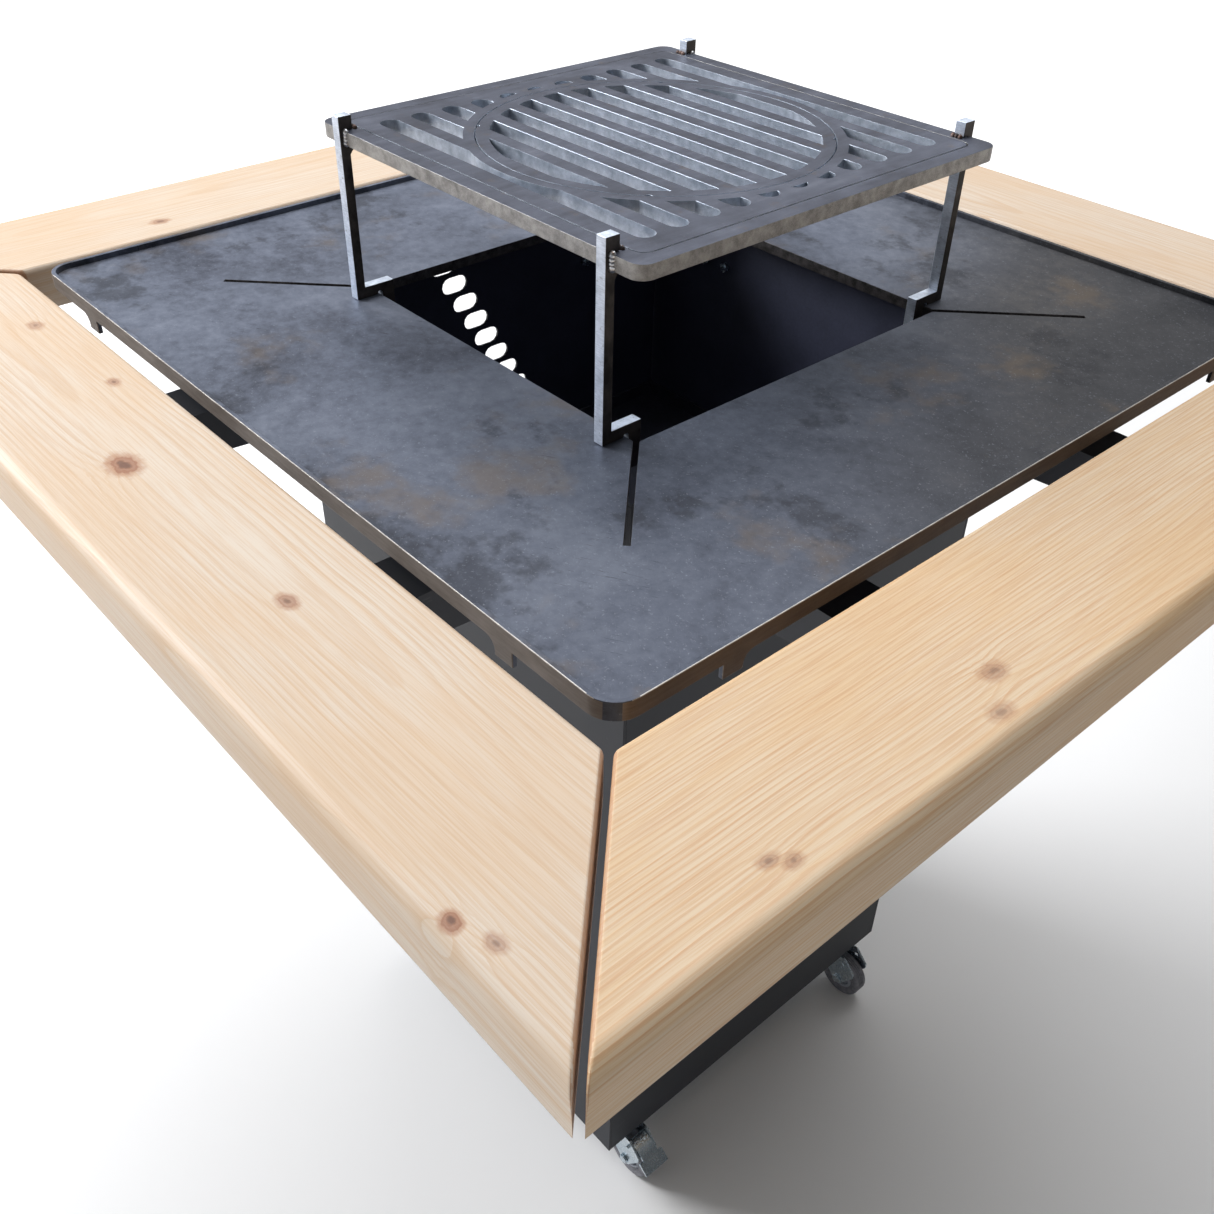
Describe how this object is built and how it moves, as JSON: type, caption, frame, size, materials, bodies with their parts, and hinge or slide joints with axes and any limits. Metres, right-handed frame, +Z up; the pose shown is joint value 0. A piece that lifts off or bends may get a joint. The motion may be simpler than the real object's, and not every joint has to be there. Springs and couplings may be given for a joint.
{
  "type": "fire pit",
  "caption": "Square steel fire pit on castors with a griddle plate, a lift-off slotted grill grate on legs and a mitred wooden table edge carried on steel arms.",
  "frame": {"origin": "on the floor, under the middle of the firebox", "axes": "+Z up, -Y towards the front, the vent slots are in the -X wall, and the castors trail towards +X"},
  "size_m": [1.12, 1.12, 1.1366],
  "materials": {
    "black_powder": "satin heat-resistant black coat",
    "mill_scale": "hot-rolled steel with blue-grey mill scale",
    "rim_steel": "hot-rolled flat bar, brown-grey",
    "grate_steel": "flame-cut steel plate, blue-grey",
    "leg_steel": "cut steel with a pale blue-grey scale",
    "pine": "planed pine with clear oil",
    "zinc": "bright zinc plate",
    "grey_rubber": "matt grey tread",
    "hub_nylon": "grey nylon"
  },
  "bodies": {
    "chassis": {"body_front_panel": "black_powder", "body_right_panel": "black_powder", "body_back_panel": "black_powder", "body_left_panel": "black_powder", "fire_floor": "black_powder", "base_plate": "black_powder", "arm_front_left": "black_powder", "arm_front_right": "black_powder", "arm_right_front": "black_powder", "arm_right_back": "black_powder", "arm_back_right": "black_powder", "arm_back_left": "black_powder", "arm_left_back": "black_powder", "arm_left_front": "black_powder", "arm_bolts_front_left": "zinc", "arm_bolts_front_right": "zinc", "arm_bolts_right_front": "zinc", "arm_bolts_right_back": "zinc", "arm_bolts_back_right": "zinc", "arm_bolts_back_left": "zinc", "arm_bolts_left_back": "zinc", "arm_bolts_left_front": "zinc", "table_plank_front": "pine", "table_plank_right": "pine", "table_plank_back": "pine", "table_plank_left": "pine", "castor_front_left_plate": "zinc", "castor_front_right_plate": "zinc", "castor_back_left_plate": "zinc", "castor_back_right_plate": "zinc"},
    "griddle": {"griddle_plate": "mill_scale", "griddle_rim": "rim_steel"},
    "grate": {"grate_frame": "grate_steel", "panel_rest": "grate_steel", "grate_leg_front_left": "leg_steel", "grate_leg_front_right": "leg_steel", "grate_leg_back_left": "leg_steel", "grate_leg_back_right": "leg_steel"},
    "panel": {"grate_panel": "grate_steel", "insert_rest": "grate_steel"},
    "insert": {"grate_insert": "grate_steel"},
    "castor_front_left": {"castor_front_left_fork": "zinc", "castor_front_left_axle": "zinc"},
    "wheel_front_left": {"castor_front_left_tyre": "grey_rubber", "castor_front_left_hub": "hub_nylon"},
    "castor_front_right": {"castor_front_right_fork": "zinc", "castor_front_right_axle": "zinc"},
    "wheel_front_right": {"castor_front_right_tyre": "grey_rubber", "castor_front_right_hub": "hub_nylon"},
    "castor_back_left": {"castor_back_left_fork": "zinc", "castor_back_left_axle": "zinc"},
    "wheel_back_left": {"castor_back_left_tyre": "grey_rubber", "castor_back_left_hub": "hub_nylon"},
    "castor_back_right": {"castor_back_right_fork": "zinc", "castor_back_right_axle": "zinc"},
    "wheel_back_right": {"castor_back_right_tyre": "grey_rubber", "castor_back_right_hub": "hub_nylon"},
    "brake_front_left": {"castor_front_left_brake_pedal": "zinc"},
    "brake_front_right": {"castor_front_right_brake_pedal": "zinc"}
  },
  "joints": [
    {"name": "griddle_lift", "type": "slide", "parent": "chassis", "child": "griddle", "axis": [0, 0, 1], "range_m": [0, 0.15]},
    {"name": "grate_lift", "type": "slide", "parent": "griddle", "child": "grate", "axis": [0, 0, 1], "range_m": [0, 0.25]},
    {"name": "grate_panel_lift", "type": "slide", "parent": "grate", "child": "panel", "axis": [0, 0, 1], "range_m": [0, 0.12]},
    {"name": "grate_insert_lift", "type": "slide", "parent": "panel", "child": "insert", "axis": [0, 0, 1], "range_m": [0, 0.12]},
    {"name": "castor_front_left_swivel", "type": "hinge", "parent": "chassis", "child": "castor_front_left", "pos_m": [-0.205, -0.193, 0.075], "axis": [0, 0, 1], "continuous": true},
    {"name": "castor_front_left_roll", "type": "hinge", "parent": "castor_front_left", "child": "wheel_front_left", "pos_m": [-0.177, -0.193, 0.03], "axis": [0, 1, 0], "continuous": true},
    {"name": "castor_front_right_swivel", "type": "hinge", "parent": "chassis", "child": "castor_front_right", "pos_m": [0.205, -0.193, 0.075], "axis": [0, 0, 1], "continuous": true},
    {"name": "castor_front_right_roll", "type": "hinge", "parent": "castor_front_right", "child": "wheel_front_right", "pos_m": [0.233, -0.193, 0.03], "axis": [0, 1, 0], "continuous": true},
    {"name": "castor_back_left_swivel", "type": "hinge", "parent": "chassis", "child": "castor_back_left", "pos_m": [-0.205, 0.193, 0.075], "axis": [0, 0, 1], "continuous": true},
    {"name": "castor_back_left_roll", "type": "hinge", "parent": "castor_back_left", "child": "wheel_back_left", "pos_m": [-0.177, 0.193, 0.03], "axis": [0, 1, 0], "continuous": true},
    {"name": "castor_back_right_swivel", "type": "hinge", "parent": "chassis", "child": "castor_back_right", "pos_m": [0.205, 0.193, 0.075], "axis": [0, 0, 1], "continuous": true},
    {"name": "castor_back_right_roll", "type": "hinge", "parent": "castor_back_right", "child": "wheel_back_right", "pos_m": [0.233, 0.193, 0.03], "axis": [0, 1, 0], "continuous": true},
    {"name": "castor_front_left_brake", "type": "hinge", "parent": "castor_front_left", "child": "brake_front_left", "pos_m": [-0.171, -0.193, 0.0645], "axis": [0, 1, 0], "range_deg": [0, 12]},
    {"name": "castor_front_right_brake", "type": "hinge", "parent": "castor_front_right", "child": "brake_front_right", "pos_m": [0.239, -0.193, 0.0645], "axis": [0, 1, 0], "range_deg": [0, 12]}
  ]
}
